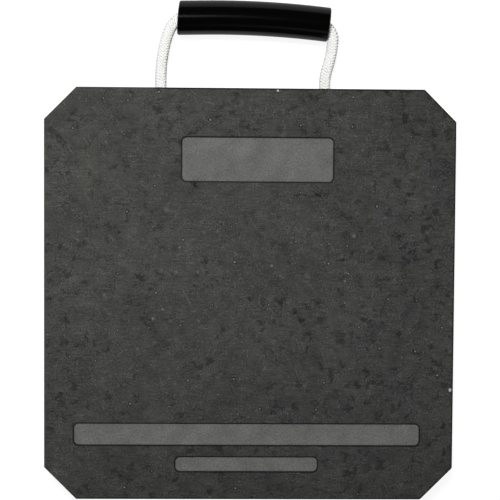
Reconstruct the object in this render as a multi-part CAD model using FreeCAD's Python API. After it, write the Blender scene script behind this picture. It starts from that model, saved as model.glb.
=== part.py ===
import FreeCAD, Part
import math
import os

Vector = FreeCAD.Vector

# A jack base plate lying flat with its marked face up: a thick square of black
# polyethylene with cut corners, and a rope handle with a rubber grip that lies
# out beyond one edge. All sizes are in millimetres. The origin is the centre
# of the plate's underside, +Z is up and +Y points from the plate to the grip.

# The plate, sawn from 1 1/2 inch sheet to 16 inches square, a little long.
WIDTH = 406.4
LENGTH = 408.0
THICKNESS = 38.1
CORNER_CUT = 31.75
EDGE_ROUND = 1.2
CORNER_ROUND = 1.0
WORN_CORNER_ROUND = 3.5

# The blank fields milled into the upper face: name, width, height, and the
# place of the middle from the plate's centre.
FIELD_DEPTH = 1.0
FIELD_CORNER = 5.0
NAME_FIELD = (150.0, 44.0, 7.0, 133.8)
RATING_FIELD = (344.0, 22.0, -2.0, -139.0)
SMALL_FIELD = (142.0, 15.0, -2.5, -168.8)

# The rope, 7/16 inch braid, and what it runs through. Each end passes a bore
# drilled into the plate's edge and is knotted in a pocket cut from below.
ROPE_DIAMETER = 11.1
ROPE_CLEARANCE = 0.8
BORE_SPACING = 164.4
HANDLE_OFFSET = -8.2
BORE_MOUTH_CHAMFER = 1.0
POCKET_DIAMETER = 38.1
POCKET_SETBACK = 20.0
POCKET_MOUTH_CHAMFER = 1.0
POCKET_HEADROOM = 1.0
KNOT_DIAMETER = 25.0
KNOT_LENGTH = 25.0
KNOT_SHOULDER = 7.0
KNOT_SIDES = 8
KNOT_SEAT_GAP = 0.2
TAIL_LENGTH = 9.0

# The grip, a 6 inch length of 1 inch hose. From its left end the axis runs
# straight and then bends gently back towards the plate. The left end was cut
# by hand, a little out of square.
GRIP_OUTER = 33.6
GRIP_BORE = 25.4
GRIP_LENGTH = 151.0
GRIP_STRAIGHT = 23.0
GRIP_BEND_ANGLE = 7.85
GRIP_HEADING = 1.2
GRIP_START_X = -64.5
GRIP_REACH = 72.4
GRIP_CUT_SKEW = 6.0
GRIP_EASE = 0.8

# The rope's route between its two bores, from the left one to the right one:
# x from the middle of the handle, y beyond the plate's edge, z from the floor.
# On each side the rope keeps to the bore's axis up to its first corner, whose
# place from the plate's edge is given too.
LEFT_FIRST_CORNER = 3.0
RIGHT_FIRST_CORNER = -4.0
ROPE_ROUTE = (
    (-81.9, 29.2, 16.2),
    (-76.8, 55.7, 12.9),
    (-69.4, 69.8, 11.8),
    (-57.4, 77.2, 11.6),
    (-35.0, 76.8, 11.4),
    (6.0, 73.6, 10.3),
    (48.0, 70.4, 10.4),
    (71.5, 69.0, 11.5),
    (84.6, 66.2, 13.8),
    (91.3, 56.8, 15.8),
    (89.6, 43.0, 16.5),
    (87.4, 31.0, 17.2),
    (82.2, 15.0, 18.6),
)
# An arc takes up this share of the shorter run beside it.
ARC_SHARE = 0.45

# How far a drill or a cutter's volume reaches past the surface that it enters.
OVERRUN = 1.0

EDGE_Y = LENGTH / 2
BORE_HEIGHT = THICKNESS / 2
BORE_RADIUS = ROPE_DIAMETER / 2 + ROPE_CLEARANCE
POCKET_RADIUS = POCKET_DIAMETER / 2
POCKET_Y = EDGE_Y - POCKET_SETBACK - POCKET_RADIUS
POCKET_DEPTH = BORE_HEIGHT + KNOT_DIAMETER / 2 + POCKET_HEADROOM
LEFT_BORE_X = HANDLE_OFFSET - BORE_SPACING / 2
RIGHT_BORE_X = HANDLE_OFFSET + BORE_SPACING / 2
# The knot's flat end is as wide as the rope and lies against the pocket's
# round wall, so the wall's curve across the rope's width sets it back.
KNOT_FACE_Y = POCKET_Y - KNOT_SEAT_GAP + math.sqrt(
    POCKET_RADIUS ** 2 - (ROPE_DIAMETER / 2) ** 2)
UP = Vector(0, 0, 1)
OUTWARD = Vector(0, 1, 0)


def cut_corner_panel(width, length, cut):
    """A rectangular face on z = 0 with its corners cut off at 45 degrees."""
    half_x = width / 2
    half_y = length / 2
    corners = []
    for x, y in ((1, 1), (1, -1), (-1, -1), (-1, 1)):
        beside = Vector(x * half_x, y * (half_y - cut), 0)
        above = Vector(x * (half_x - cut), y * half_y, 0)
        corners += [above, beside] if x == y else [beside, above]
    return Part.Face(Part.makePolygon(corners + corners[:1]))


def upright_edges(shape):
    """The straight edges of a prism that run along Z."""
    return [edge for edge in shape.Edges
            if abs(edge.Vertexes[0].Point.z - edge.Vertexes[-1].Point.z) > THICKNESS / 2]


def milled_field(width, height, middle_x, middle_y):
    """The cutter's volume for one shallow field with round corners."""
    low = Vector(middle_x - width / 2, middle_y - height / 2, THICKNESS - FIELD_DEPTH)
    field = Part.makeBox(width, height, FIELD_DEPTH + OVERRUN, low)
    corners = [edge for edge in field.Edges
               if abs(edge.Vertexes[0].Point.z - edge.Vertexes[-1].Point.z) > FIELD_DEPTH]
    return field.makeFillet(FIELD_CORNER, corners)


def rope_bore(x):
    """The drill's volume from the pocket out past the plate's edge, with its mouth eased."""
    start = Vector(x, POCKET_Y, BORE_HEIGHT)
    drill = Part.makeCylinder(BORE_RADIUS, EDGE_Y - POCKET_Y + OVERRUN, start, OUTWARD)
    mouth = Part.makeCone(
        BORE_RADIUS, BORE_RADIUS + 2 * BORE_MOUTH_CHAMFER, 2 * BORE_MOUTH_CHAMFER,
        Vector(x, EDGE_Y - BORE_MOUTH_CHAMFER, BORE_HEIGHT), OUTWARD)
    return drill.fuse(mouth)


def knot_pocket(x):
    """The round pocket that takes a knot, cut from the underside."""
    pocket = Part.makeCylinder(POCKET_RADIUS, POCKET_DEPTH + OVERRUN,
                               Vector(x, POCKET_Y, -OVERRUN), UP)
    mouth = Part.makeCone(
        POCKET_RADIUS + 2 * POCKET_MOUTH_CHAMFER, POCKET_RADIUS, 2 * POCKET_MOUTH_CHAMFER,
        Vector(x, POCKET_Y, -POCKET_MOUTH_CHAMFER), UP)
    return pocket.fuse(mouth)


def make_plate():
    """The slab with its eased edges, bores, pockets and blank fields."""
    slab = cut_corner_panel(WIDTH, LENGTH, CORNER_CUT).extrude(Vector(0, 0, THICKNESS))
    worn = [edge for edge in upright_edges(slab)
            if edge.Vertexes[0].Point.x > 0 > edge.Vertexes[0].Point.y]
    slab = slab.makeFillet(WORN_CORNER_ROUND, worn)
    sharp = [edge for edge in upright_edges(slab)
             if edge.Vertexes[0].Point.x < 0 or edge.Vertexes[0].Point.y > 0]
    slab = slab.makeFillet(CORNER_ROUND, sharp)
    rims = [edge for edge in slab.Edges
            if abs(edge.Vertexes[0].Point.z - edge.Vertexes[-1].Point.z) < EDGE_ROUND]
    slab = slab.makeFillet(EDGE_ROUND, rims)
    for x in (LEFT_BORE_X, RIGHT_BORE_X):
        slab = slab.cut(rope_bore(x))
        slab = slab.cut(knot_pocket(x))
    for field in (NAME_FIELD, RATING_FIELD, SMALL_FIELD):
        slab = slab.cut(milled_field(*field))
    return slab


def grip_axis():
    """The grip's axis: its start, the bend's start, centre and radius, and its end."""
    heading = math.radians(GRIP_HEADING)
    start = Vector(HANDLE_OFFSET + GRIP_START_X, EDGE_Y + GRIP_REACH, GRIP_OUTER / 2)
    bend_start = start + Vector(math.cos(heading), math.sin(heading), 0) * GRIP_STRAIGHT
    bend_radius = (GRIP_LENGTH - GRIP_STRAIGHT) / math.radians(GRIP_BEND_ANGLE)
    centre = bend_start + Vector(math.sin(heading), -math.cos(heading), 0) * bend_radius
    turned = heading - math.radians(GRIP_BEND_ANGLE)
    end = centre + Vector(-math.sin(turned), math.cos(turned), 0) * bend_radius
    return start, bend_start, centre, bend_radius, end


def bent_rod(radius, spare):
    """A round rod along the grip's axis, longer by the spare at both ends."""
    start, bend_start, centre, bend_radius, _ = grip_axis()
    heading = bend_start - start
    heading.normalize()
    straight = Part.makeCylinder(radius, GRIP_STRAIGHT + spare, start - heading * spare, heading)
    section = Part.Face(Part.Wire(Part.makeCircle(radius, bend_start, heading)))
    swing = GRIP_BEND_ANGLE + math.degrees(spare / bend_radius)
    return straight.fuse(section.revolve(centre, UP, -swing))


def make_grip():
    """The bent length of hose, square at its right end and skewed at its left."""
    spare = GRIP_OUTER
    hose = bent_rod(GRIP_OUTER / 2, spare).cut(bent_rod(GRIP_BORE / 2, 2 * spare))
    start, _, _, _, end = grip_axis()
    left_facing = 180 + GRIP_HEADING - GRIP_CUT_SKEW
    right_facing = GRIP_HEADING - GRIP_BEND_ANGLE
    for point, facing in ((start, left_facing), (end, right_facing)):
        waste = Part.makeBox(3 * spare, 3 * spare, 3 * spare, Vector(0, -1.5 * spare, -1.5 * spare))
        waste.Placement = FreeCAD.Placement(point, FreeCAD.Rotation(UP, facing))
        hose = hose.cut(waste)
    ends = [face for face in hose.Faces if isinstance(face.Surface, Part.Plane)]
    return hose.makeChamfer(GRIP_EASE, [edge for face in ends for edge in face.Edges])


def route_points():
    """The rope's route in the plate's frame, with the knots' faces as its ends."""
    left_bore = [Vector(LEFT_BORE_X, y, BORE_HEIGHT)
                 for y in (KNOT_FACE_Y, EDGE_Y + LEFT_FIRST_CORNER)]
    free = [Vector(HANDLE_OFFSET + x, EDGE_Y + y, z) for x, y, z in ROPE_ROUTE]
    right_bore = [Vector(RIGHT_BORE_X, y, BORE_HEIGHT)
                  for y in (EDGE_Y + RIGHT_FIRST_CORNER, KNOT_FACE_Y)]
    return left_bore + free + right_bore


def rounded_path(points):
    """Straight runs between the points, joined by the largest tangent arcs that fit."""
    edges = []
    radii = []
    run_start = points[0]
    for before, corner, after in zip(points, points[1:], points[2:]):
        back = before - corner
        ahead = after - corner
        turn = math.pi - back.getAngle(ahead)
        reach = ARC_SHARE * min(back.Length, ahead.Length)
        radius = reach / math.tan(turn / 2)
        back = back * (1 / back.Length)
        ahead = ahead * (1 / ahead.Length)
        inward = back + ahead
        inward = inward * (1 / inward.Length)
        arc_start = corner + back * reach
        arc_middle = corner + inward * (radius / math.cos(turn / 2) - radius)
        arc_end = corner + ahead * reach
        edges.append(Part.LineSegment(run_start, arc_start).toShape())
        edges.append(Part.Arc(arc_start, arc_middle, arc_end).toShape())
        radii.append(radius)
        run_start = arc_end
    edges.append(Part.LineSegment(run_start, points[-1]).toShape())
    return Part.Wire(edges), radii


def make_rope():
    """A plain round tube along the route, from one knot to the other."""
    points = route_points()
    path, radii = rounded_path(points)
    section = Part.Wire(Part.makeCircle(ROPE_DIAMETER / 2, points[0], points[1] - points[0]))
    rope = Part.Solid(path.makePipeShell([section], True, False))
    even = math.pi * (ROPE_DIAMETER / 2) ** 2 * path.Length
    print("rope length %.1f mm, arc radii" % path.Length, " ".join("%.0f" % r for r in radii))
    print("rope volume %.1f, section times length %.1f" % (rope.Volume, even))
    return rope


def knot_section(middle, across_flats):
    """The corners of the knot's outline square to the rope, with flats above and beside."""
    corner_radius = across_flats / 2 / math.cos(math.pi / KNOT_SIDES)
    turns = [math.pi * (2 * n + 1) / KNOT_SIDES for n in range(KNOT_SIDES)]
    return [middle + Vector(math.cos(turn), 0, math.sin(turn)) * corner_radius
            for turn in turns]


def flat_sided_solid(sections):
    """A solid through outlines that have as many corners each, with flat faces all over."""
    faces = [Part.Face(Part.makePolygon(ring + ring[:1])) for ring in (sections[0], sections[-1])]
    for ring, ahead in zip(sections, sections[1:]):
        for n in range(len(ring)):
            corners = [ring[n - 1], ring[n], ahead[n], ahead[n - 1], ring[n - 1]]
            faces.append(Part.Face(Part.makePolygon(corners)))
    return Part.Solid(Part.Shell(faces))


def make_knot(x):
    """The outer form of a stopper knot: a lump that narrows to the rope, with its short tail."""
    near = Vector(x, KNOT_FACE_Y, BORE_HEIGHT)
    shoulder = near - OUTWARD * KNOT_SHOULDER
    far = near - OUTWARD * KNOT_LENGTH
    lump = flat_sided_solid([knot_section(near, ROPE_DIAMETER),
                             knot_section(shoulder, KNOT_DIAMETER),
                             knot_section(far, KNOT_DIAMETER)])
    tail = Part.makeCylinder(ROPE_DIAMETER / 2, TAIL_LENGTH, far, OUTWARD * -1)
    return lump.fuse(tail)


def main():
    os.makedirs("parts", exist_ok=True)
    pieces = {
        "plate": make_plate(),
        "grip": make_grip(),
        "rope": make_rope(),
        "knot_left": make_knot(LEFT_BORE_X),
        "knot_right": make_knot(RIGHT_BORE_X),
    }
    for node, shape in pieces.items():
        shape.exportStep(os.path.join("parts", node + ".step"))
        print(node, "solids", len(shape.Solids), "valid", shape.isValid(),
              "volume %.0f mm3" % shape.Volume)


main()
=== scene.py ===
from bisect import bisect_right
import math

import bpy
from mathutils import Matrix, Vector


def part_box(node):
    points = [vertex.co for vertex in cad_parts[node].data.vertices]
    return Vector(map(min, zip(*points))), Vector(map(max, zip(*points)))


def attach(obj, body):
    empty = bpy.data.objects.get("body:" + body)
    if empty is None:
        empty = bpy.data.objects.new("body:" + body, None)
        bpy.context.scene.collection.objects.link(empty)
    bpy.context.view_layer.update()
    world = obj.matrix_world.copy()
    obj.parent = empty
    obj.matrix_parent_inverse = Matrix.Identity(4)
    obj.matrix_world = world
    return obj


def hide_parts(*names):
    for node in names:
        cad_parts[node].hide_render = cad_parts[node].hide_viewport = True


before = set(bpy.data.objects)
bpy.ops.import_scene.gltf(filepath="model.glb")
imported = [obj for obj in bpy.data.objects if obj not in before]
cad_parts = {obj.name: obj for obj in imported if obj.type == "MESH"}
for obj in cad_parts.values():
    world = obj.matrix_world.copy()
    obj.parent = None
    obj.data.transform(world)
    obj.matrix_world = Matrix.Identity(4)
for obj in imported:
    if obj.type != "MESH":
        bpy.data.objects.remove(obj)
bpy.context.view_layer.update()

# A jack base plate: a square slab of black recycled polyethylene with cut
# corners and blank milled fields, lying flat with its face up, and a white
# braided rope handle that runs through a black rubber hose grip and ends in
# stopper knots in two pockets under the plate. Metres, in the frame's axes.

PLATE_LOW, PLATE_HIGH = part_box("plate")
THICKNESS = PLATE_HIGH.z
EDGE_Y = PLATE_HIGH.y
KNOT_BOXES = {side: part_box("knot_" + side) for side in ("left", "right")}
BORE_X = {side: (low.x + high.x) / 2 for side, (low, high) in KNOT_BOXES.items()}
BORE_HEIGHT = (KNOT_BOXES["left"][0].z + KNOT_BOXES["left"][1].z) / 2
HANDLE_X = (BORE_X["left"] + BORE_X["right"]) / 2
KNOT_FACE_Y = KNOT_BOXES["left"][1].y

# The camera, found from the plate's corners in the photograph.
CAMERA_PLACE = (-0.01486, 0.07270, 0.9381)
CAMERA_ANGLES = (-1.7812, -0.9376, 0.3479)
CAMERA_LENS = 65.63
CAMERA_SENSOR = 36.0

# The rope, from one knot to the other, and how its route leaves the bores.
LEFT_FIRST_CORNER = 0.003
RIGHT_FIRST_CORNER = -0.004
# x from the middle of the handle, y beyond the plate's edge, z from the floor.
ROPE_ROUTE = (
    (-0.0819, 0.0292, 0.0162),
    (-0.0768, 0.0557, 0.0129),
    (-0.0694, 0.0698, 0.0118),
    (-0.0574, 0.0772, 0.0116),
    (-0.0350, 0.0768, 0.0114),
    (0.0060, 0.0736, 0.0103),
    (0.0480, 0.0704, 0.0104),
    (0.0715, 0.0690, 0.0115),
    (0.0846, 0.0662, 0.0138),
    (0.0913, 0.0568, 0.0158),
    (0.0896, 0.0430, 0.0165),
    (0.0874, 0.0310, 0.0172),
    (0.0822, 0.0150, 0.0186),
)
SPLINE_STEPS = 24
SPLINE_ORDER = 3
# Points of a line that lie closer than this are one.
SAME_PLACE = 1e-7

# The braid: as many strands each way, each passing over two and under two. A strand
# goes once round in one lead, rises and dips by the weave, and has so many rings in a
# lead. The core has one ring for as many of a strand's as its share.
STRANDS_EACH_WAY = 6
BRAID_LEAD = 0.0174
BRAID_TURN = math.radians(75)
STRAND_WIDTH = 0.0028
STRAND_THICKNESS = 0.0016
STRAND_WEAVE = 0.00045
STRAND_MIDDLE = 0.0047
STRAND_SIDES = 8
RINGS_PER_LEAD = 36
CORE_RADIUS = 0.0036
CORE_SIDES = 12
CORE_RINGS_SHARE = 4
STRAND_MAP = "strand"

# A stopper knot's route: how far past the knot's face, how far to the side,
# and how far up from the bore's axis. The rope goes in along one side of the
# middle, turns out, winds once round itself and comes back through.
KNOT_ROUTE = (
    (0.0000, 0.0000, 0.0000),
    (0.0030, -0.0008, 0.0000),
    (0.0075, -0.0038, 0.0003),
    (0.0145, -0.0041, 0.0000),
    (0.0195, -0.0046, -0.0022),
    (0.0228, -0.0008, -0.0080),
    (0.0215, 0.0072, -0.0090),
    (0.0185, 0.0118, -0.0012),
    (0.0158, 0.0082, 0.0082),
    (0.0134, -0.0016, 0.0104),
    (0.0112, -0.0102, 0.0062),
    (0.0088, -0.0114, -0.0028),
    (0.0062, -0.0056, -0.0092),
    (0.0046, 0.0028, -0.0084),
    (0.0080, 0.0046, -0.0014),
    (0.0145, 0.0041, 0.0012),
    (0.0215, 0.0030, 0.0022),
    (0.0270, 0.0006, 0.0008),
    (0.0338, 0.0000, 0.0000),
)
KNOT_TIGHTNESS = 0.70
KNOT_BLEND = 0.006

# The marks on the plate's face: how wide a scratch is, how much smaller the smallest
# speck is than the largest, a speck's dark rim in radii and its width, and how soft
# the choice of the cells that hold a mark is.
SCRATCH_HALF_WIDTH = 0.0005
SMALLEST_SPECK = 0.4
SPECK_RIM = 1.4
SPECK_RIM_FADE = (0.1, 0.6)
CHOICE_SOFTNESS = 0.01


class Nodes:
    """Makes a node tree's nodes, one call each. A socket given as a value is linked."""

    def __init__(self, owner):
        owner.use_nodes = True
        self.tree = owner.node_tree
        self.tree.nodes.clear()

    def add(self, kind, values=None, **settings):
        node = self.tree.nodes.new(kind)
        for name, setting in settings.items():
            setattr(node, name, setting)
        for key, value in (values or {}).items():
            if isinstance(value, bpy.types.NodeSocket):
                self.tree.links.new(value, node.inputs[key])
            else:
                node.inputs[key].default_value = value
        return node

    def math(self, operation, a, b=0.0, c=0.0, clamp=False):
        values = {0: a, 1: b, 2: c}
        return self.add("ShaderNodeMath", values, operation=operation, use_clamp=clamp).outputs[0]

    def product(self, *factors):
        result = factors[0]
        for factor in factors[1:]:
            result = self.math("MULTIPLY", result, factor)
        return result

    def smooth(self, value, low, high, result_low=0.0, result_high=1.0):
        """Goes from one result to the other as the value goes from low to high."""
        values = {"Value": value, "From Min": low, "From Max": high,
                  "To Min": result_low, "To Max": result_high}
        node = self.add("ShaderNodeMapRange", values, interpolation_type="SMOOTHSTEP")
        return node.outputs["Result"]

    def vary(self, value, amount):
        """A factor about 1 that follows a noise about 0.5."""
        return self.math("MULTIPLY_ADD", value, amount, 1 - amount / 2)

    def vector(self, operation, a, b=(0.0, 0.0, 0.0)):
        return self.add("ShaderNodeVectorMath", {0: a, 1: b}, operation=operation).outputs[0]

    def size_of(self, vector):
        node = self.add("ShaderNodeVectorMath", {0: vector}, operation="LENGTH")
        return node.outputs["Value"]

    def noise(self, vector, size, detail=2.0, roughness=0.5):
        """Soft noise from 0 to 1 about 0.5, whose features are about the size given."""
        values = {"Vector": vector, "Scale": 1.0 / size, "Detail": detail,
                  "Roughness": roughness}
        return self.add("ShaderNodeTexNoise", values).outputs["Fac"]

    def warp(self, vector, size, amount):
        """The places moved about by up to half the amount."""
        values = {"Vector": vector, "Scale": 1.0 / size, "Detail": 1.0}
        noise = self.add("ShaderNodeTexNoise", values).outputs["Color"]
        moved = self.vector("SUBTRACT", noise, (0.5, 0.5, 0.5))
        moved = self.vector("MULTIPLY", moved, (amount, amount, 0.0))
        return self.vector("ADD", vector, moved)

    def mix(self, factor, a, b, blend="MIX"):
        values = {"Factor": factor, 6: a, 7: b}
        node = self.add("ShaderNodeMix", values, data_type="RGBA", blend_type=blend)
        return node.outputs[2]

    def split(self, vector):
        return self.add("ShaderNodeSeparateXYZ", {0: vector}).outputs

    def turned(self, vector, angle):
        values = {"Vector": vector, "Angle": angle}
        return self.add("ShaderNodeVectorRotate", values, rotation_type="Z_AXIS").outputs[0]

    def bump(self, height, strength, distance):
        values = {"Height": height, "Strength": strength, "Distance": distance}
        return self.add("ShaderNodeBump", values).outputs["Normal"]

    def surface(self, shader):
        self.add("ShaderNodeOutputMaterial", {"Surface": shader.outputs[0]})

    def cells(self, flat, size, share, shift):
        """For marks in a share of the cells: the place from each cell's own point, whether
        the cell holds a mark, and a random number."""
        moved = self.vector("ADD", flat, (shift, 1.7 * shift, 0.0))
        node = self.add("ShaderNodeTexVoronoi", {"Vector": moved, "Scale": 1.0 / size},
                        voronoi_dimensions="2D")
        local = self.vector("SUBTRACT", moved, node.outputs["Position"])
        pick, number = self.split(node.outputs["Color"])[:2]
        return local, self.smooth(pick, 1 - share, 1 - share + CHOICE_SOFTNESS), number

    def specks(self, flat, cell, radius, share, shift=0.0, rim=-0.25):
        """Small round marks, one in a share of the cells, of sizes up to the radius."""
        local, chosen, number = self.cells(flat, cell, share, shift)
        smallest = SMALLEST_SPECK * radius
        size = self.math("MULTIPLY_ADD", number, radius - smallest, smallest)
        distance = self.math("DIVIDE", self.size_of(local), size)
        mark = self.smooth(distance, 0.5, 1.0, 1.0, 0.0)
        if rim:
            from_rim = self.math("ABSOLUTE", self.math("SUBTRACT", distance, SPECK_RIM))
            mark = self.math("ADD", mark, self.smooth(from_rim, *SPECK_RIM_FADE, rim, 0.0))
        return self.product(mark, chosen)

    def scratches(self, flat, cell, half_length, radius, share, shift):
        """Thin arcs, one in a share of the cells, each turned its own way."""
        local, chosen, number = self.cells(flat, cell, share, shift)
        turned = self.turned(local, self.math("MULTIPLY", number, 2 * math.pi))
        centre = self.vector("SUBTRACT", turned, (0.0, -radius, 0.0))
        off = self.math("ABSOLUTE", self.math("SUBTRACT", self.size_of(centre), radius))
        along = self.math("ABSOLUTE", self.split(turned)[0])
        line = self.smooth(off, 0.3 * SCRATCH_HALF_WIDTH, SCRATCH_HALF_WIDTH, 1.0, 0.0)
        ends = self.smooth(along, 0.5 * half_length, half_length, 1.0, 0.0)
        return self.product(line, ends, chosen)


def new_material(name):
    material = bpy.data.materials.new(name)
    return material, Nodes(material)


def grey(level, warmth=0.0):
    """A near-grey colour, a little yellower as the warmth goes up."""
    return (level, level, level * (1 - warmth), 1.0)


def make_camera():
    data = bpy.data.cameras.new("photo_camera")
    data.sensor_fit = "HORIZONTAL"
    data.sensor_width = CAMERA_SENSOR
    data.lens = CAMERA_LENS
    camera = bpy.data.objects.new("photo_camera", data)
    camera.rotation_mode = "ZYX"
    camera.rotation_euler = [math.radians(angle) for angle in CAMERA_ANGLES]
    camera.location = CAMERA_PLACE
    bpy.context.scene.collection.objects.link(camera)
    bpy.context.scene.camera = camera


def spline_line(points):
    """Points close together along the NURBS spline that has these control points."""
    curve = bpy.data.curves.new("line", "CURVE")
    curve.dimensions = "3D"
    curve.resolution_u = SPLINE_STEPS
    spline = curve.splines.new("NURBS")
    spline.points.add(len(points) - 1)
    for control, point in zip(spline.points, points):
        control.co = (*point, 1.0)
    spline.order_u = SPLINE_ORDER
    spline.use_endpoint_u = True
    holder = bpy.data.objects.new("line", curve)
    mesh = bpy.data.meshes.new_from_object(holder)
    line = [vertex.co.copy() for vertex in mesh.vertices]
    bpy.data.objects.remove(holder)
    bpy.data.curves.remove(curve)
    bpy.data.meshes.remove(mesh)
    return line


class Path:
    """A line with its length and a frame that turns no more than the line does."""

    def __init__(self, line):
        self.line = [point for point, ahead in zip(line, line[1:])
                     if (ahead - point).length > SAME_PLACE]
        self.line.append(line[-1])
        self.along = [0.0]
        for point, ahead in zip(self.line, self.line[1:]):
            self.along.append(self.along[-1] + (ahead - point).length)
        self.length = self.along[-1]
        last = len(self.line) - 1
        self.headings = [(self.line[min(i + 1, last)] - self.line[max(i - 1, 0)]).normalized()
                         for i in range(last + 1)]
        self.sides = [self.headings[0].cross(Vector((0, 0, 1))).normalized()]
        for before, after in zip(self.headings, self.headings[1:]):
            side = before.rotation_difference(after) @ self.sides[-1]
            self.sides.append((side - after * side.dot(after)).normalized())

    def at(self, distance):
        """The place, the side and the up direction at a distance along the line."""
        i = min(max(bisect_right(self.along, distance) - 1, 0), len(self.line) - 2)
        share = (distance - self.along[i]) / (self.along[i + 1] - self.along[i])
        place = self.line[i].lerp(self.line[i + 1], share)
        side = self.sides[i].lerp(self.sides[i + 1], share).normalized()
        heading = self.headings[i].lerp(self.headings[i + 1], share).normalized()
        return place, side, heading.cross(side)


class Shape:
    """Gathers rings of points into closed tubes, then makes them one smooth mesh object."""

    def __init__(self):
        self.vertices = []
        self.faces = []
        self.places = []

    def tube(self, rings, places):
        """A closed tube through rings of as many points each, with a UV place for each point."""
        first = len(self.vertices)
        sides = len(rings[0])
        for ring, ring_places in zip(rings, places):
            self.vertices += ring
            self.places += ring_places
        for k in range(len(rings) - 1):
            for n in range(sides):
                a = first + k * sides + n
                b = first + k * sides + (n + 1) % sides
                self.faces.append((a, b, b + sides, a + sides))
        last = first + (len(rings) - 1) * sides
        self.faces.append(tuple(first + n for n in reversed(range(sides))))
        self.faces.append(tuple(last + n for n in range(sides)))

    def make(self, name):
        mesh = bpy.data.meshes.new(name)
        mesh.from_pydata(self.vertices, [], self.faces)
        mesh.polygons.foreach_set("use_smooth", [True] * len(self.faces))
        flat = []
        for loop in mesh.loops:
            flat += self.places[loop.vertex_index]
        mesh.uv_layers.new(name=STRAND_MAP).data.foreach_set("uv", flat)
        piece = bpy.data.objects.new(name, mesh)
        bpy.context.scene.collection.objects.link(piece)
        return piece


def ring_angles(sides):
    return [2 * math.pi * n / sides for n in range(sides)]


def strand_line(path, direction, index, count, scale_at):
    """One strand's middle line, with the way out of the rope and the scale at each point.

    A strand meets a crossing one at each column, and goes over two and under two of them.
    """
    line = []
    for k in range(count + 1):
        distance = path.length * k / count
        column = 2 * index + direction * 2 * STRANDS_EACH_WAY * distance / BRAID_LEAD
        angle = math.pi * column / STRANDS_EACH_WAY + BRAID_TURN
        lift = direction * STRAND_WEAVE * math.cos(math.pi / 2 * (column - 0.5))
        scale = scale_at(distance)
        place, side, up = path.at(distance)
        outward = side * math.cos(angle) + up * math.sin(angle)
        line.append((place + outward * (STRAND_MIDDLE + lift) * scale, outward, scale))
    return line


def add_strand(shape, line, number):
    """A flattened tube along one strand."""
    rings, places = [], []
    walked = 0.0
    for k, (place, outward, scale) in enumerate(line):
        before = line[max(k - 1, 0)][0]
        heading = (line[min(k + 1, len(line) - 1)][0] - before).normalized()
        across = heading.cross(outward).normalized() * STRAND_WIDTH / 2 * scale
        out = across.cross(heading).normalized() * STRAND_THICKNESS / 2 * scale
        walked += (place - before).length
        rings.append([place + across * math.cos(angle) + out * math.sin(angle)
                      for angle in ring_angles(STRAND_SIDES)])
        places.append([(walked / BRAID_LEAD + number, abs(1 - 2 * n / STRAND_SIDES))
                       for n in range(STRAND_SIDES)])
    shape.tube(rings, places)


def add_core(shape, path, count, scale_at):
    """The round core that the strands lie on."""
    rings, places = [], []
    for k in range(count + 1):
        distance = path.length * k / count
        place, side, up = path.at(distance)
        radius = CORE_RADIUS * scale_at(distance)
        rings.append([place + (side * math.cos(angle) + up * math.sin(angle)) * radius
                      for angle in ring_angles(CORE_SIDES)])
        places.append([(distance / BRAID_LEAD, n / CORE_SIDES) for n in range(CORE_SIDES)])
    shape.tube(rings, places)


def braid(name, line, scale_at=lambda distance: 1.0):
    """A round braid along a line, as one mesh."""
    path = Path(line)
    count = round(RINGS_PER_LEAD * path.length / BRAID_LEAD)
    shape = Shape()
    for direction in (1, -1):
        for index in range(STRANDS_EACH_WAY):
            strand = strand_line(path, direction, index, count, scale_at)
            add_strand(shape, strand, index + direction)
    add_core(shape, path, count // CORE_RINGS_SHARE, scale_at)
    return shape.make(name)


def rope_points():
    left = [Vector((BORE_X["left"], y, BORE_HEIGHT))
            for y in (KNOT_FACE_Y, EDGE_Y + LEFT_FIRST_CORNER)]
    free = [Vector((HANDLE_X + x, EDGE_Y + y, z)) for x, y, z in ROPE_ROUTE]
    right = [Vector((BORE_X["right"], y, BORE_HEIGHT))
             for y in (EDGE_Y + RIGHT_FIRST_CORNER, KNOT_FACE_Y)]
    return left + free + right


def make_knot(side):
    """One stopper knot, whose rope is squeezed thinner inside it."""
    mirror = 1 if side == "left" else -1
    points = [Vector((BORE_X[side] + mirror * across, KNOT_FACE_Y - depth, BORE_HEIGHT + up))
              for depth, across, up in KNOT_ROUTE]
    line = spline_line(points)
    length = Path(line).length

    def squeeze(distance):
        share = min(max(min(distance, length - distance) / KNOT_BLEND, 0.0), 1.0)
        return 1.0 + (KNOT_TIGHTNESS - 1.0) * share * share * (3 - 2 * share)

    knot = braid("stopper_knot_" + side, line, squeeze)
    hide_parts("knot_" + side)
    return knot


def make_rope(material):
    """The rope and its two knots, each attached to the root body."""
    line = spline_line(rope_points())
    rope = braid("rope_braid", line)
    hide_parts("rope")
    knots = [make_knot("left"), make_knot("right")]
    for piece in [rope] + knots:
        piece.data.materials.append(material)
        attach(piece, "root")


# The rope's colours: its yarn clean and soiled, and the painted shade, with some grime, in the
# valleys between the strands.
ROPE_CLEAN = grey(0.95, 0.012)
ROPE_SOILED = grey(0.90, 0.050)
ROPE_VALLEY_SHADE = grey(0.40, 0.16)
# How far from a strand's middle the painted valley shade starts and ends, and how much of it shows.
VALLEY_SHADE_BAND = (0.28, 0.46, 0.0, 0.75)
YARN_WAVES = 26.0


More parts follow.
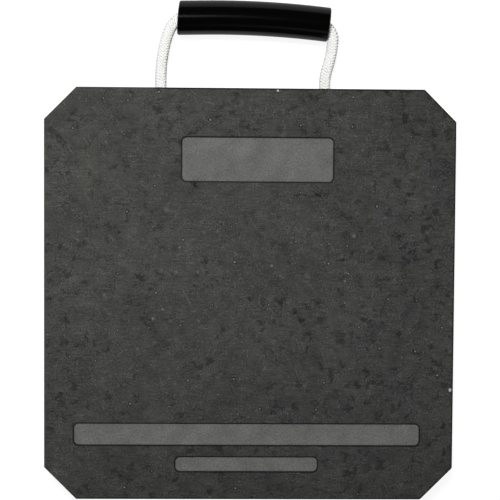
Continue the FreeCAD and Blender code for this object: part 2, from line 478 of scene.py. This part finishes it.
def rope_material():
    """White braided nylon, with the fine lines of its yarns along each strand, and painted shade
    between the strands.
    """
    material, nodes = new_material("white_nylon_braid")
    place = nodes.add("ShaderNodeTexCoord").outputs["Object"]
    across = nodes.split(nodes.add("ShaderNodeUVMap", uv_map=STRAND_MAP).outputs["UV"])[1]
    yarn = nodes.math("SINE", nodes.math("MULTIPLY", across, YARN_WAVES))
    height = nodes.math("MULTIPLY_ADD", nodes.noise(place, 0.0012), 0.8, yarn)
    soil = nodes.smooth(nodes.noise(place, 0.014, detail=3.0), 0.45, 0.75)
    colour = nodes.mix(soil, ROPE_CLEAN, ROPE_SOILED)
    # Painted shade, with a little grime: the strands' edges are darkened where they dip between
    # their neighbours.
    from_middle = nodes.math("ABSOLUTE", nodes.math("SUBTRACT", across, 0.5))
    colour = nodes.mix(nodes.smooth(from_middle, *VALLEY_SHADE_BAND), colour, ROPE_VALLEY_SHADE)
    shader = nodes.add("ShaderNodeBsdfPrincipled", {
        "Base Color": colour, "Roughness": 0.62, "Specular IOR Level": 0.3,
        "Normal": nodes.bump(height, strength=0.25, distance=0.0001)})
    nodes.surface(shader)
    return material


GRIP_COLOUR = grey(0.0012, 0.05)
# How far a feature of the hose's surface is drawn out along the hose.
GRIP_DRAWN = (0.04, 1.0, 1.0)


def grip_material():
    """Black rubber hose with a soft gloss and faint lines along its length."""
    material, nodes = new_material("black_rubber_hose")
    place = nodes.add("ShaderNodeTexCoord").outputs["Object"]
    lines = nodes.noise(nodes.vector("MULTIPLY", place, GRIP_DRAWN), 0.0012, detail=3.0)
    smear = nodes.noise(place, 0.012, detail=3.0)
    height = nodes.math("MULTIPLY_ADD", lines, 0.4, smear)
    normal = nodes.bump(height, strength=0.08, distance=0.0002)
    shader = nodes.add("ShaderNodeBsdfPrincipled", {
        "Base Color": GRIP_COLOUR, "Specular IOR Level": 0.0,
        "Roughness": nodes.smooth(smear, 0.3, 0.7, 0.42, 0.58),
        "Coat Weight": 0.36, "Coat Roughness": 0.2, "Coat IOR": 1.5,
        "Normal": normal, "Coat Normal": normal})
    nodes.surface(shader)
    return material


# The plate's colours.
FACE_GREY = 0.0550
WARMTH = 0.074
FACE_WARM = grey(FACE_GREY, WARMTH)
FACE_COOL = grey(FACE_GREY, -0.012)
SIDE_COLOUR = grey(0.042, WARMTH)
# The near-black edge colour is painted shade: on the eased edges, partly the smooth unscuffed
# plastic, and along the fields' rims.
EDGE_SHADE_COLOUR = grey(0.004)
# The pale edge colour is wear with a painted highlight, on the left side and the top's left part.
WORN_AND_LIT_EDGE_COLOUR = grey(0.06, WARMTH)
FIELD_COLOUR = grey(0.138, 0.03)

# Ramps over the plate, for nodes.smooth: from, to, and the result at each, which is
# 0 and 1 where none is given.
# Painted light falloff on the face: lighter to the left, darker at the foot and towards the head.
FALLOFF_PAINTED_ACROSS = (-0.22, 0.22, 1.09, 0.94)
FALLOFF_PAINTED_AT_FOOT = (-0.21, -0.08, 0.86, 1.0)
FALLOFF_PAINTED_AT_HEAD = (0.03, 0.19, 1.0, 0.92)
# Painted light falloff on the fields: lighter at the foot, darker towards the head.
FIELD_FALLOFF_PAINTED = (-0.14, 0.13, 1.1, 0.95)
CROWD_BY_OUTLINE = (-0.13, -0.02, 0.0, 0.10)
CROWD_BY_SIDE = (-0.05, 0.13, -0.035, 0.055)
TINT_BY_SIDE = (-0.02, 0.11, 0.10, -0.02)
# A band of painted shade on the face just inside the eased edges.
EDGE_SHADE_BAND = (-0.0021, -0.0011, 0.0, 0.8)
# Where the edges are pale, as wear and a painted highlight: the left side and part of the top.
WORN_AND_LIT_LEFT = (PLATE_LOW.x + 0.03, PLATE_LOW.x + 0.02)
WORN_AND_LIT_TOP_X = (-0.088, -0.108)
WORN_AND_LIT_TOP_Y = (0.10, 0.15)

# How much a place's y counts against its x in how far to the lower right it lies.
LOWER_RIGHT_SLOPE = -0.7

# How dark the face is within a patch and a dab.
PATCH_LEVEL = 0.56
DAB_LEVEL = 0.63

# The corners' cut, and the milled fields: width, height, and the middle's place.
CORNER_CUT = 0.03175
FIELDS = (
    (0.150, 0.044, 0.0070, 0.1338),
    (0.344, 0.022, -0.0020, -0.1390),
    (0.142, 0.015, -0.0025, -0.1688),
)
FIELD_CORNER = 0.005
# How wide the painted shade along each field's rim is.
FIELD_SHADE_RIM = 0.0011
CUTTER_RADIUS = 0.005
CUTTER_STEP = 0.006
CUTTER_PITCH = 0.0009

# White chips in the face, and paler scuffs: place, radius, and how light they are.
CHIPS = (
    (0.2001, -0.0936, 0.0016, 8.0),
    (0.0263, 0.2016, 0.0011, 8.0),
    (-0.0957, -0.0238, 0.0015, 1.8),
    (-0.0859, -0.0145, 0.0012, 1.6),
    (-0.0827, 0.0842, 0.0026, 0.5),
    (-0.0696, 0.0468, 0.0010, 1.8),
    (-0.0728, 0.0226, 0.0011, 1.6),
    (-0.0515, 0.0226, 0.0009, 1.5),
    (0.1026, 0.0591, 0.0018, 1.3),
    (0.0214, 0.0293, 0.0013, 1.7),
    (0.0568, 0.0193, 0.0030, 0.6),
    (0.0945, 0.0147, 0.0010, 1.5),
)
# Long scratches in the face: one end, the other, and how light they are.
LONG_SCRATCHES = (
    ((-0.0679, 0.0077), (-0.0561, -0.0142), 0.9),
    ((-0.1480, 0.1480), (-0.1275, 0.1545), 0.5),
    ((0.0610, -0.0480), (0.1050, -0.0390), 0.4),
)


def outline_edge(nodes, flat):
    """How far a place lies outside the plate's outline, below zero inside it."""
    x, y = nodes.split(nodes.vector("ABSOLUTE", flat))[:2]
    straight = nodes.math("MAXIMUM", nodes.math("SUBTRACT", x, PLATE_HIGH.x),
                          nodes.math("SUBTRACT", y, PLATE_HIGH.y))
    reach = PLATE_HIGH.x + PLATE_HIGH.y - CORNER_CUT
    beyond = nodes.math("SUBTRACT", nodes.math("ADD", x, y), reach)
    return nodes.math("MAXIMUM", straight, nodes.math("DIVIDE", beyond, math.sqrt(2)))


def field_edge(nodes, flat):
    """How far a place lies outside the nearest field, down to the corner radius inside."""
    edges = []
    for width, height, x, y in FIELDS:
        place = nodes.vector("ABSOLUTE", nodes.vector("SUBTRACT", flat, (x, y, 0.0)))
        half = (width / 2 - FIELD_CORNER, height / 2 - FIELD_CORNER, 0.0)
        beyond = nodes.vector("MAXIMUM", nodes.vector("SUBTRACT", place, half))
        edges.append(nodes.math("SUBTRACT", nodes.size_of(beyond), FIELD_CORNER))
    nearest = edges[0]
    for edge in edges[1:]:
        nearest = nodes.math("MINIMUM", nearest, edge)
    return nearest


def lower_right(nodes, flat):
    """How far a place lies towards the lower right of the face, where its wear is densest."""
    x, y = nodes.split(flat)[:2]
    return nodes.math("MULTIPLY_ADD", y, LOWER_RIGHT_SLOPE, x)


def chips(nodes, flat):
    """How much lighter the listed chips and scuffs make the face."""
    found = 0.0
    ragged = nodes.noise(flat, 0.0016, detail=2.0)
    for x, y, radius, light in CHIPS:
        distance = nodes.size_of(nodes.vector("SUBTRACT", flat, (x, y, 0.0)))
        distance = nodes.math("MULTIPLY_ADD", ragged, 1.2 * radius, distance)
        found = nodes.math("MAXIMUM", found,
                           nodes.smooth(distance, 1.1 * radius, 2.0 * radius, light, 0.0))
    return found


def long_scratches(nodes, flat):
    """How much lighter the listed scratches make the face."""
    found = 0.0
    for start, end, light in LONG_SCRATCHES:
        start, end = Vector((*start, 0.0)), Vector((*end, 0.0))
        half = (end - start).length / 2
        moved = nodes.vector("SUBTRACT", flat, (start + end) / 2)
        turned = nodes.turned(moved, -math.atan2(end.y - start.y, end.x - start.x))
        along, off = [nodes.math("ABSOLUTE", part) for part in nodes.split(turned)[:2]]
        line = nodes.smooth(off, 0.2 * SCRATCH_HALF_WIDTH, SCRATCH_HALF_WIDTH, 1.0, 0.0)
        mark = nodes.product(nodes.smooth(along, 0.7 * half, half, light, 0.0), line)
        found = nodes.math("ADD", found, mark)
    return found


def dark_marks(nodes, flat, crowd):
    """Ragged patches and round dabs, from 0 to 1, thickest at the outline and lower right."""
    by_outline = nodes.smooth(outline_edge(nodes, flat), *CROWD_BY_OUTLINE)
    by_side = nodes.smooth(lower_right(nodes, flat), *CROWD_BY_SIDE)
    worked = nodes.math("ADD", nodes.math("ADD", crowd, by_outline), by_side)
    frayed = nodes.warp(nodes.warp(flat, 0.009, 0.012), 0.0025, 0.005)
    patches = nodes.noise(frayed, 0.0105, detail=5.0, roughness=0.72)
    patches = nodes.product(nodes.smooth(patches, 0.545, 0.60),
                            nodes.smooth(worked, 0.43, 0.61, 0.25, 1.0))
    dabs = nodes.specks(frayed, 0.021, 0.0046, 0.55, shift=0.89, rim=0.0)
    dabs = nodes.product(dabs, nodes.smooth(worked, 0.42, 0.58, 0.5, 1.0))
    return patches, dabs


def light_marks(nodes, flat, crowd):
    """Smudges, specks and scratches, each with how much lighter it makes the face."""
    warped = nodes.warp(flat, 0.005, 0.005)
    smudges = nodes.noise(nodes.vector("ADD", warped, (3.7, 1.3, 0.0)), 0.008, detail=2.0)
    rubbed = nodes.smooth(crowd, 0.55, 0.42)
    nicks = nodes.scratches(warped, 0.008, 0.0022, 0.012, 0.6, shift=0.71)
    return (
        (nodes.smooth(smudges, 0.62, 0.76), 0.45),
        (nodes.specks(flat, 0.0065, 0.0009, 0.5), 0.9),
        (nodes.specks(flat, 0.028, 0.0012, 0.6, shift=0.31), 2.4),
        (nodes.product(nicks, rubbed), 0.9),
        (nodes.scratches(flat, 0.034, 0.005, 0.009, 0.45, shift=0.17), 0.8),
        (nodes.scratches(flat, 0.060, 0.012, 0.040, 0.4, shift=0.53), 0.6),
    )


def face_level(nodes, flat, grain):
    """How light the pressed face is at a place, about 1, with the light's falloff painted in, and
    the dark patches in it.
    """
    crowd = nodes.noise(flat, 0.045, detail=2.0)
    patches, dabs = dark_marks(nodes, flat, crowd)
    clouds = nodes.noise(flat, 0.070, detail=2.0)
    mottle = nodes.noise(flat, 0.014, detail=4.0, roughness=0.75)
    busy = nodes.smooth(nodes.noise(flat, 0.022, detail=2.0), 0.35, 0.6, 1.6, 3.6)
    coarse = nodes.math("MULTIPLY_ADD", nodes.math("SUBTRACT", grain, 0.5), busy, 1.0)
    streaks = nodes.noise(nodes.vector("MULTIPLY", flat, (0.12, 1.0, 1.0)), 0.0018, detail=2.0)
    level = nodes.product(nodes.vary(clouds, 0.6), nodes.vary(mottle, 1.3),
                          nodes.smooth(patches, 0.0, 1.0, 1.0, PATCH_LEVEL),
                          nodes.smooth(dabs, 0.0, 1.0, 1.0, DAB_LEVEL),
                          coarse, nodes.vary(streaks, 0.8))
    for mark, strength in light_marks(nodes, flat, crowd):
        level = nodes.math("MULTIPLY_ADD", mark, strength, level)
    # Painted light falloff over the whole face.
    x, y = nodes.split(flat)[:2]
    level = nodes.product(level, nodes.smooth(x, *FALLOFF_PAINTED_ACROSS), nodes.smooth(y, *FALLOFF_PAINTED_AT_FOOT),
                          nodes.smooth(y, *FALLOFF_PAINTED_AT_HEAD))
    level = nodes.math("ADD", level, chips(nodes, flat))
    return nodes.math("ADD", level, long_scratches(nodes, flat)), patches


def face_tint(nodes, flat):
    """The face's colour before its level: warm, with cool places to the lower right."""
    wander = nodes.warp(flat, 0.010, 0.012)
    warm = nodes.noise(wander, 0.034, detail=4.0, roughness=0.6)
    warm = nodes.math("ADD", warm, nodes.smooth(lower_right(nodes, flat), *TINT_BY_SIDE))
    return nodes.mix(nodes.smooth(warm, 0.36, 0.58), FACE_COOL, FACE_WARM)


def milled_marks(nodes, flat):
    """The arcs that a small end mill leaves as it runs along a field's floor."""
    x, y = nodes.split(flat)[:2]
    across = nodes.math("WRAP", y, CUTTER_STEP / 2, -CUTTER_STEP / 2)
    bow = nodes.math("SQRT", nodes.math("SUBTRACT", CUTTER_RADIUS ** 2,
                                        nodes.math("MULTIPLY", across, across)))
    phase = nodes.math("MULTIPLY", nodes.math("SUBTRACT", x, bow), 2 * math.pi / CUTTER_PITCH)
    return nodes.math("SINE", phase)


def edge_colour(nodes, flat):
    """Eased edges painted dark as shade, pale along the left side and part of the top as wear with
    a painted highlight.
    """
    x, y = nodes.split(flat)[:2]
    at_top = nodes.product(nodes.smooth(x, *WORN_AND_LIT_TOP_X), nodes.smooth(y, *WORN_AND_LIT_TOP_Y))
    worn_and_lit = nodes.math("MAXIMUM", at_top, nodes.smooth(x, *WORN_AND_LIT_LEFT))
    return nodes.mix(worn_and_lit, EDGE_SHADE_COLOUR, WORN_AND_LIT_EDGE_COLOUR)


def plate_material():
    """Black recycled polyethylene: scuffed pressed faces with painted light falloff, edges painted
    dark as shade, sawn sides, milled fields with painted shade at their rims.
    """
    material, nodes = new_material("black_polyethylene")
    coordinates = nodes.add("ShaderNodeTexCoord").outputs
    place = coordinates["Object"]
    facing = nodes.split(coordinates["Normal"])[2]
    flat = nodes.vector("MULTIPLY", place, (1.0, 1.0, 0.0))
    grain = nodes.noise(flat, 0.0017, detail=3.0, roughness=0.75)
    rub = nodes.noise(place, 0.02, detail=4.0, roughness=0.7)
    saw = nodes.noise(nodes.vector("MULTIPLY", place, (1.0, 1.0, 0.03)), 0.0011, detail=3.0)

    level, patches = face_level(nodes, flat, grain)
    face = nodes.mix(1.0, face_tint(nodes, flat), level, "MULTIPLY")
    side_level = nodes.product(nodes.vary(saw, 1.1), nodes.vary(rub, 0.8))
    sides = nodes.mix(1.0, SIDE_COLOUR, side_level, "MULTIPLY")
    edges = edge_colour(nodes, flat)
    # The fields' floors: milled marks, grain and rubbing, with painted light falloff.
    field_level = nodes.product(nodes.math("MULTIPLY_ADD", milled_marks(nodes, flat), 0.03, 1.0),
                                nodes.vary(grain, 1.8), nodes.vary(rub, 0.9),
                                nodes.smooth(nodes.split(flat)[1], *FIELD_FALLOFF_PAINTED))
    field = nodes.mix(1.0, FIELD_COLOUR, field_level, "MULTIPLY")

    upright = nodes.math("ABSOLUTE", facing)
    on_face = nodes.smooth(upright, 0.90, 0.985)
    on_side = nodes.smooth(upright, 0.25, 0.08)
    # A band of painted shade on the face along the plate's outline.
    edge_shade_band = nodes.product(nodes.smooth(outline_edge(nodes, flat), *EDGE_SHADE_BAND), on_face)
    edge = field_edge(nodes, flat)
    in_field = nodes.product(nodes.smooth(edge, 0.0, -0.0001), nodes.smooth(facing, 0.5, 0.9))
    # Painted shade along the fields' rims, in the face and the floor, on the plate's upper part
    # only.
    rim = nodes.smooth(nodes.math("ABSOLUTE", edge), 0.4 * FIELD_SHADE_RIM, FIELD_SHADE_RIM, 0.8, 0.0)
    rim = nodes.product(rim, nodes.smooth(nodes.split(place)[2], THICKNESS / 2, THICKNESS))

    colour = nodes.mix(on_face, edges, face)
    colour = nodes.mix(edge_shade_band, colour, edges)
    colour = nodes.mix(on_side, colour, sides)
    colour = nodes.mix(in_field, colour, field)
    colour = nodes.mix(rim, colour, EDGE_SHADE_COLOUR)
    relief = nodes.math("MULTIPLY_ADD", grain, 0.6, nodes.math("MULTIPLY", patches, -0.5))
    relief = nodes.add("ShaderNodeMix", {0: on_side, 2: relief, 3: saw}).outputs[0]
    shader = nodes.add("ShaderNodeBsdfPrincipled", {
        "Base Color": colour, "Roughness": nodes.smooth(grain, 0.3, 0.7, 0.5, 0.68),
        "Specular IOR Level": 0.3, "Normal": nodes.bump(relief, strength=0.35, distance=0.0003)})
    nodes.surface(shader)
    return material


def dress(node, material):
    """Gives a solid of the frame its material."""
    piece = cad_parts[node]
    piece.data.materials.clear()
    piece.data.materials.append(material)


# The floor's grey for the light it gives back, and as it is seen, with its own glow.
FLOOR_HALF = 12.0
FLOOR_GREY = grey(0.36)
FLOOR_SEEN_GREY = grey(0.22)
FLOOR_GLOW = 0.91


def floor_material():
    """A pale floor that shows white to the camera and in reflections, and keeps the shadow."""
    material, nodes = new_material("pale_floor")
    rays = nodes.add("ShaderNodeLightPath").outputs
    seen = nodes.math("ADD", rays["Is Camera Ray"], rays["Is Glossy Ray"])
    seen = nodes.math("ADD", seen, rays["Is Transmission Ray"], clamp=True)
    plain = nodes.add("ShaderNodeBsdfDiffuse", {"Color": FLOOR_GREY})
    faint = nodes.add("ShaderNodeBsdfDiffuse", {"Color": FLOOR_SEEN_GREY})
    glow = nodes.add("ShaderNodeEmission", {"Color": grey(1.0), "Strength": FLOOR_GLOW})
    white = nodes.add("ShaderNodeAddShader", {0: faint.outputs[0], 1: glow.outputs[0]})
    nodes.surface(nodes.add("ShaderNodeMixShader", {0: seen, 1: plain.outputs[0],
                                                    2: white.outputs[0]}))
    return material


def make_floor():
    half = FLOOR_HALF
    mesh = bpy.data.meshes.new("floor")
    mesh.from_pydata([(-half, -half, 0), (half, -half, 0), (half, half, 0), (-half, half, 0)],
                     [], [(0, 1, 2, 3)])
    floor = bpy.data.objects.new("floor", mesh)
    bpy.context.scene.collection.objects.link(floor)
    mesh.materials.append(floor_material())


# The studio: how far its white reaches above the horizon and how dark it is above that,
# how much higher the white goes behind the handle, and how much of it lights the object.
HORIZON = (0.08, 0.16, 1.0, 0.02)
BACKDROP_RISE = 0.30
STUDIO_LIGHT = 0.22


def make_world():
    """A dark studio, white at the horizon, with a white backdrop behind the handle."""
    world = bpy.data.worlds.new("studio")
    bpy.context.scene.world = world
    nodes = Nodes(world)
    direction = nodes.split(nodes.add("ShaderNodeTexCoord").outputs["Generated"])
    back = nodes.math("MAXIMUM", direction[1], 0.0)
    over = nodes.math("MULTIPLY_ADD", back, -BACKDROP_RISE, direction[2])
    rays = nodes.add("ShaderNodeLightPath").outputs
    level = nodes.product(nodes.smooth(over, *HORIZON),
                          nodes.smooth(rays["Is Diffuse Ray"], 0.0, 1.0, 1.0, STUDIO_LIGHT))
    background = nodes.add("ShaderNodeBackground", {"Color": grey(1.0), "Strength": level})
    nodes.add("ShaderNodeOutputWorld", {"Surface": background.outputs[0]})


def add_lamp(name, place, target, size, power, mirrored=True, lighting=True):
    """A rectangular lamp, which can leave no image in glossy surfaces, or only an image."""
    data = bpy.data.lights.new(name, "AREA")
    data.shape = "RECTANGLE"
    data.size, data.size_y = size
    data.energy = power
    lamp = bpy.data.objects.new(name, data)
    lamp.location = place
    lamp.rotation_euler = (Vector(target) - Vector(place)).to_track_quat("-Z", "Y").to_euler()
    lamp.visible_glossy = mirrored
    lamp.visible_diffuse = lighting
    bpy.context.scene.collection.objects.link(lamp)


def make_lights():
    add_lamp("key", place=(-0.12, 0.47, 1.10), target=(-0.03, 0.18, 0.0),
             size=(0.3, 0.3), power=13.4, mirrored=False)
    add_lamp("strip", place=(-0.47, 0.23, 1.25), target=(-0.47, 0.23, 0.0),
             size=(0.8, 0.2), power=1.5, lighting=False)
    add_lamp("low_strip", place=(0.45, -0.95, 0.62), target=(0.10, 0.26, 0.0),
             size=(0.9, 0.35), power=0.9)


make_camera()
make_rope(rope_material())
dress("grip", grip_material())
dress("plate", plate_material())
make_floor()
make_world()
make_lights()
bpy.context.scene.view_settings.view_transform = "Standard"
